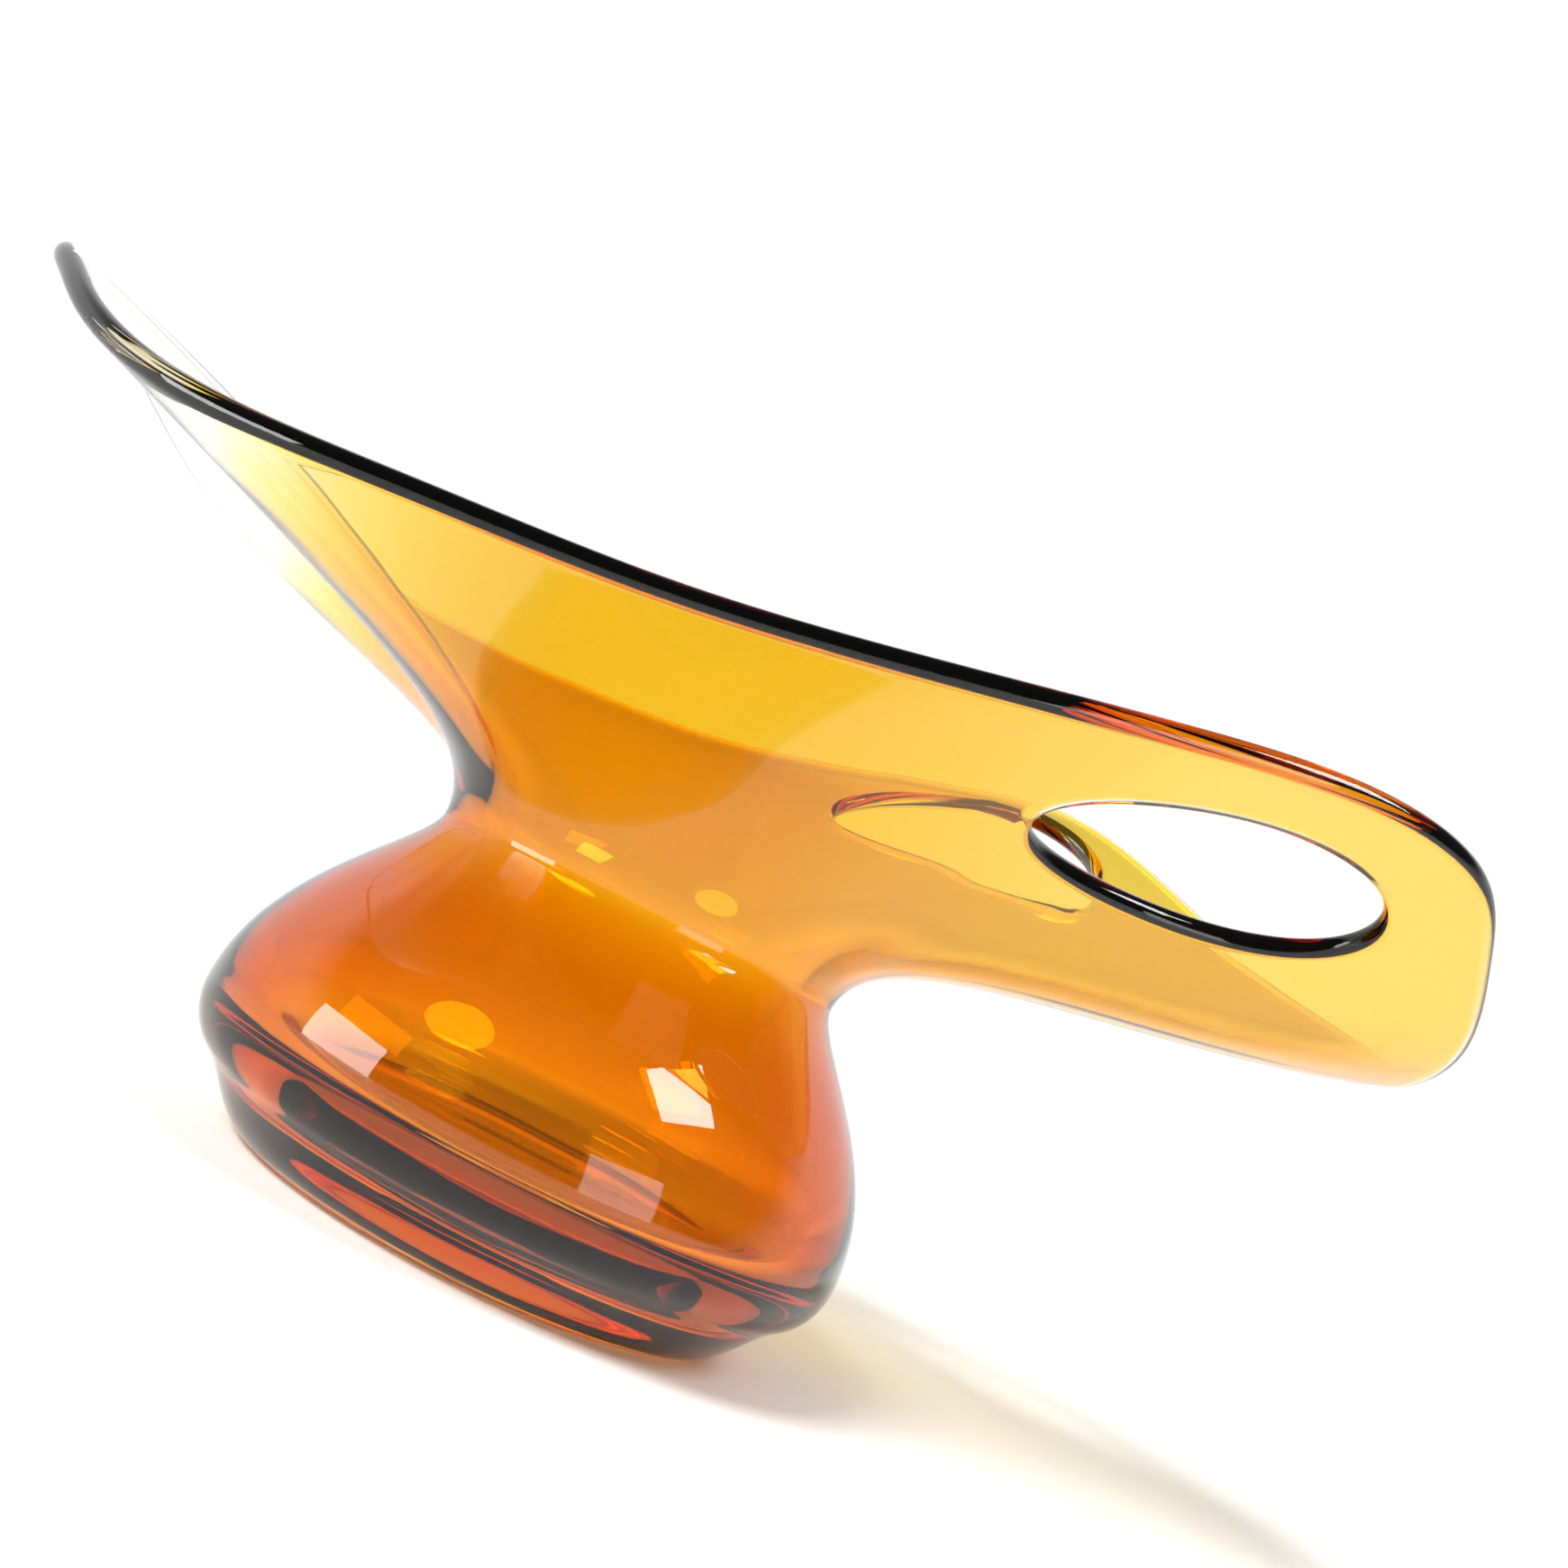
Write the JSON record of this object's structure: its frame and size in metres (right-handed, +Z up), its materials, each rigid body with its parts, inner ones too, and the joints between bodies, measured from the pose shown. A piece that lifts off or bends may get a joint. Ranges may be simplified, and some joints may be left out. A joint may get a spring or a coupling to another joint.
{
  "type": "glass bowl",
  "caption": "Free-blown footed glass bowl: thin-walled round body, waisted neck and a long flared bowl with a drawn-out tip and a raised tongue pierced by oval finger holes.",
  "frame": {"origin": "middle of the flat face that the foot stands on", "axes": "+Z up along the body's axis, +X along the bowl towards its pierced tongue, -Y the front"},
  "size_m": [0.2938, 0.1637, 0.1316],
  "materials": {
    "clear_glass": "fire-polished clear casing glass",
    "amber_glass": "transparent deep amber glass, fused to the clear casing",
    "cased_glass": "transparent amber glass cased in clear, fire-polished edges"
  },
  "bodies": {
    "root": {"foot": "clear_glass", "body_casing": "clear_glass", "amber_core": "amber_glass", "flared_bowl": "cased_glass"}
  },
  "joints": []
}
